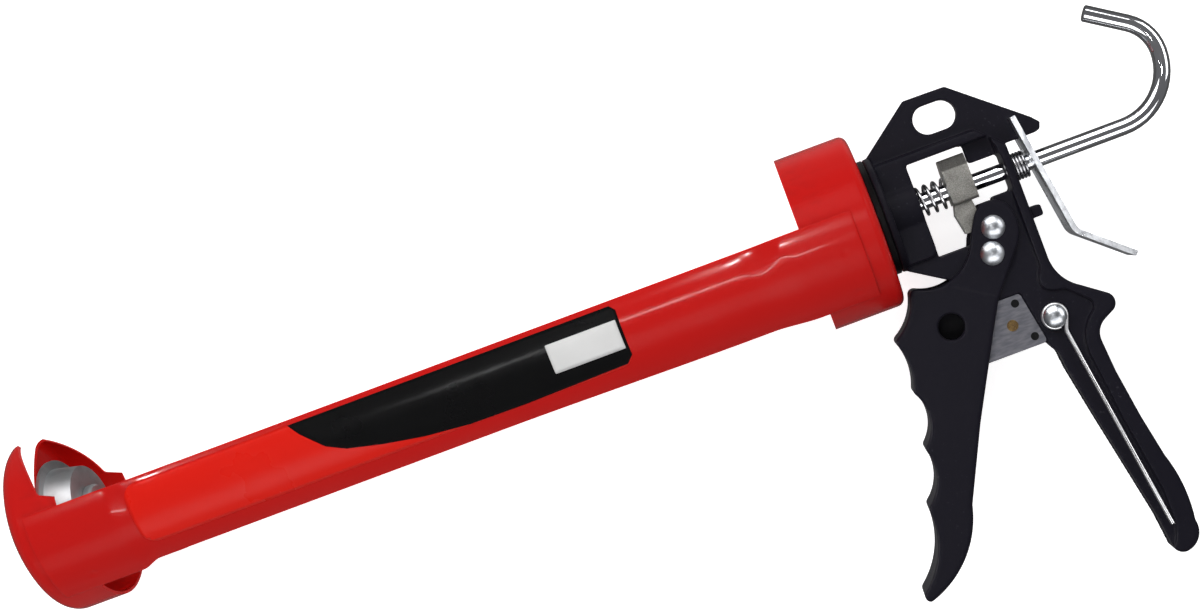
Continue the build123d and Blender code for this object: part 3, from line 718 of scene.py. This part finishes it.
def makeFloor():
    # the gun lies on its side, so the floor faces -Y; from behind the view goes through it,
    # and it is dim in reflections and casts no shadow
    half, y = floorPlace["half"], floorPlace["behind"] + floorPlace["gap"]
    corners = [(-half, y, -half), (half, y, -half), (half, y, half), (-half, y, half)]
    data = bpy.data.meshes.new("floor")
    data.from_pydata(corners, [], [(0, 1, 2, 3)])
    floor = link(bpy.data.objects.new("floor", data))
    material = bpy.data.materials.new("paleFloor")
    material.use_nodes = True
    tree = material.node_tree
    shader = tree.nodes["Principled BSDF"]
    shader.inputs["Base Color"].default_value = floorPlace["paint"]
    shader.inputs["Roughness"].default_value = floorPlace["roughness"]
    shader.inputs["Emission Color"].default_value = floorPlace["glowColour"]
    shader.inputs["Emission Strength"].default_value = floorPlace["glow"]
    dim = tree.nodes.new("ShaderNodeEmission")
    dim.inputs["Color"].default_value = floorPlace["mirrored"]
    clear = tree.nodes.new("ShaderNodeBsdfTransparent")
    back = tree.nodes.new("ShaderNodeNewGeometry").outputs["Backfacing"]
    rays = tree.nodes.new("ShaderNodeLightPath").outputs
    plain = joinShaders(tree, rays["Is Glossy Ray"], shader, dim)
    unseen = mathNode(tree, "MAXIMUM", back, rays["Is Shadow Ray"])
    mix = joinShaders(tree, unseen, plain, clear)
    tree.links.new(mix.outputs[0], tree.nodes["Material Output"].inputs["Surface"])
    data.materials.append(material)


makeFloor()

# lamps, in metres and watts: the three fills aren't mirrored, and seenBy names the pieces
# that a lamp lights alone
lampAim = (-0.1, 0, 0)
lamps = {
    "key": {"place": (-0.30, -1.05, 0.90), "size": (0.9, 0.6), "power": 11.0, "mirrored": False},
    "side": {"place": (0.85, -0.95, 0.30), "size": (0.45, 0.8), "power": 4.5, "mirrored": False},
    "low": {"place": (-0.45, -1.0, -0.85), "size": (1.0, 0.35), "power": 5.5, "mirrored": False},
    "strip": {"place": (-0.22, -1.19, -0.17), "size": (0.42, 0.012), "power": 0.42},
    "spark": {"place": (-0.07, -1.00, 0.18), "size": (0.05, 0.04), "power": 0.35},
    "glint": {"place": (-0.64, -0.93, 0.26), "size": (0.02, 0.03), "power": 0.16},
    "upperBand": {"place": (0.0, -0.75, 0.95), "size": (1.6, 0.9), "power": 15.0, "seenBy": "metal"},
    "lowerBand": {"place": (0.0, -0.85, -0.75), "size": (1.6, 0.7), "power": 9.0, "seenBy": "metal"},
    "sideBand": {"place": (1.2, -0.65, 0.2), "size": (0.6, 1.2), "power": 7.0, "seenBy": "metal"},
    "plate": {"place": (0.25, -1.1, 0.2), "size": (0.5, 0.35), "power": 1.5, "seenBy": "plate"},
    "sheen": {"place": (0.35, -0.75, 0.85), "size": (0.6, 0.35), "power": 1.6, "seenBy": "black"},
    "edge": {"place": (-0.9, -0.35, 0.15), "size": (0.3, 0.6), "power": 2.5, "seenBy": "black"},
    "backKey": {"place": (0.3, 1.1, 0.9), "size": (1.0, 0.7), "power": 8.0},
    "backSide": {"place": (-0.8, 1.0, 0.1), "size": (0.5, 0.9), "power": 5.0},
}
lampGroups = {
    "metal": [
        "pull_rod", "drive_springCoil", "release_springCoil", "release_lever", "plunger", "plunger_nut",
        "plunger_collar", "drive_pin", "pivot_pin", "punch_rivet", "seal_punch", "blade_eyelet",
    ],
    "plate": ["release_lever", "drive_block", "plunger", "plunger_nut", "plunger_collar"],
    "black": ["frame_castingCast", "triggerCast"],
}


def lampGroup(name):
    group = bpy.data.collections.new(name)
    for piece in lampGroups[name]:
        group.objects.link(nodes.get(piece) or bpy.data.objects[piece])
    return group


receivers = {name: lampGroup(name) for name in lampGroups}


def makeLamp(name, place, size, power, mirrored=True, seenBy=None):
    data = bpy.data.lights.new(name, "AREA")
    data.shape = "RECTANGLE"
    data.size, data.size_y = size
    data.energy = power
    lamp = link(bpy.data.objects.new(name, data))
    lamp.location = place
    lamp.rotation_euler = (Vector(lampAim) - Vector(place)).to_track_quat("-Z", "Y").to_euler()
    lamp.visible_glossy = mirrored
    if seenBy:
        lamp.light_linking.receiver_collection = receivers[seenBy]


for name, values in lamps.items():
    makeLamp(name, **values)

# the room around
studio = {"seen": (0.93, 0.93, 0.93, 1), "room": (0.13, 0.13, 0.135, 1)}


def makeStudio():
    # pale to look at, dim in reflections, as in a room with soft boxes
    world = bpy.data.worlds.new("studio")
    bpy.context.scene.world = world
    world.use_nodes = True
    tree = world.node_tree
    room = tree.nodes["Background"]
    room.inputs["Color"].default_value = studio["room"]
    seen = tree.nodes.new("ShaderNodeBackground")
    seen.inputs["Color"].default_value = studio["seen"]
    watched = tree.nodes.new("ShaderNodeLightPath").outputs["Is Camera Ray"]
    mix = joinShaders(tree, watched, room, seen)
    tree.links.new(mix.outputs[0], tree.nodes["World Output"].inputs["Surface"])


makeStudio()
bpy.context.scene.view_settings.view_transform = "Standard"
print("camera, floor and light placed")
